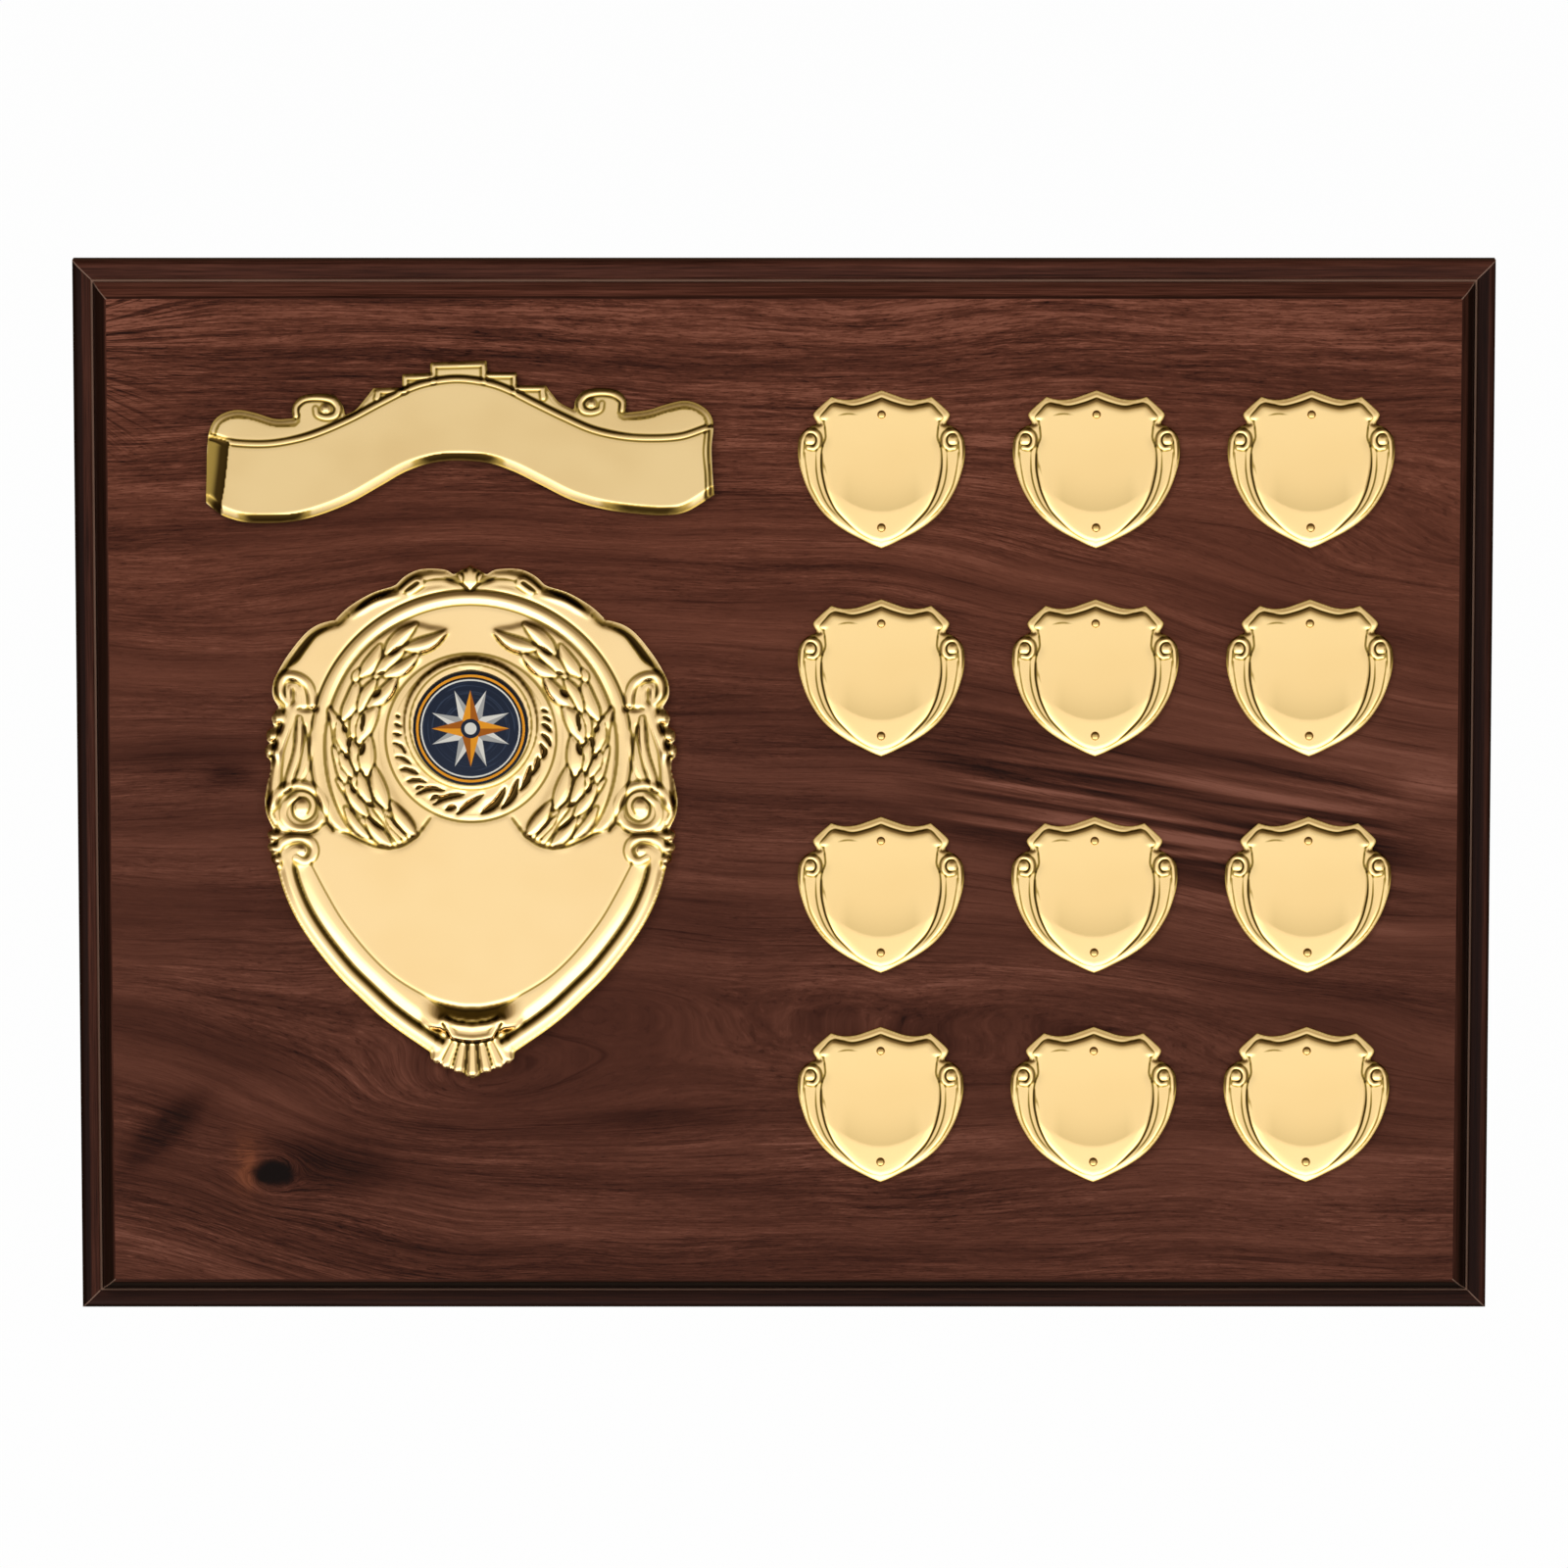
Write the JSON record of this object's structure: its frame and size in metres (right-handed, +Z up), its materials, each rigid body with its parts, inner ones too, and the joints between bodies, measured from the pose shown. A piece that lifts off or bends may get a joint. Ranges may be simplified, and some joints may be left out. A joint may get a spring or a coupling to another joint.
{
  "type": "award plaque",
  "caption": "Landscape wall plaque: moulded wooden board with a gilt title scroll, a large gilt shield with a round centre disc, and rows of small pinned gilt shields.",
  "frame": {"origin": "centre of the board's flat back face, where it meets the wall", "axes": "+X to the right seen from the front, +Y back into the wall, +Z up; the front looks along -Y"},
  "size_m": [0.3048, 0.0173, 0.2286],
  "materials": {
    "face_wood": "satin mahogany finish with long dark grain",
    "edge_wood": "darker satin mahogany moulding",
    "gilt": "bright gilt stamping",
    "disc_print": "gloss print in navy, orange and white",
    "foam": "white double-sided foam",
    "hanger_steel": "zinc-plated steel"
  },
  "bodies": {
    "root": {"panel": "face_wood", "top_rail": "edge_wood", "bottom_rail": "edge_wood", "left_rail": "edge_wood", "right_rail": "edge_wood", "title_scroll": "gilt", "main_shield": "gilt", "centre_disc": "disc_print", "disc_adhesive": "foam", "scroll_pad_left": "foam", "scroll_pad_middle": "foam", "scroll_pad_right": "foam", "shield_pad_left": "foam", "shield_pad_right": "foam", "shield_pad_lower": "foam", "keyhole_plate": "hanger_steel", "upper_hanger_screw": "hanger_steel", "lower_hanger_screw": "hanger_steel", "side_shield_01": "gilt", "side_shield_02": "gilt", "side_shield_03": "gilt", "side_shield_04": "gilt", "side_shield_05": "gilt", "side_shield_06": "gilt", "side_shield_07": "gilt", "side_shield_08": "gilt", "side_shield_09": "gilt", "side_shield_10": "gilt", "side_shield_11": "gilt", "side_shield_12": "gilt", "upper_pin_01": "gilt", "upper_pin_02": "gilt", "upper_pin_03": "gilt", "upper_pin_04": "gilt", "upper_pin_05": "gilt", "upper_pin_06": "gilt", "upper_pin_07": "gilt", "upper_pin_08": "gilt", "upper_pin_09": "gilt", "upper_pin_10": "gilt", "upper_pin_11": "gilt", "upper_pin_12": "gilt", "lower_pin_01": "gilt", "lower_pin_02": "gilt", "lower_pin_03": "gilt", "lower_pin_04": "gilt", "lower_pin_05": "gilt", "lower_pin_06": "gilt", "lower_pin_07": "gilt", "lower_pin_08": "gilt", "lower_pin_09": "gilt", "lower_pin_10": "gilt", "lower_pin_11": "gilt", "lower_pin_12": "gilt"}
  },
  "joints": []
}
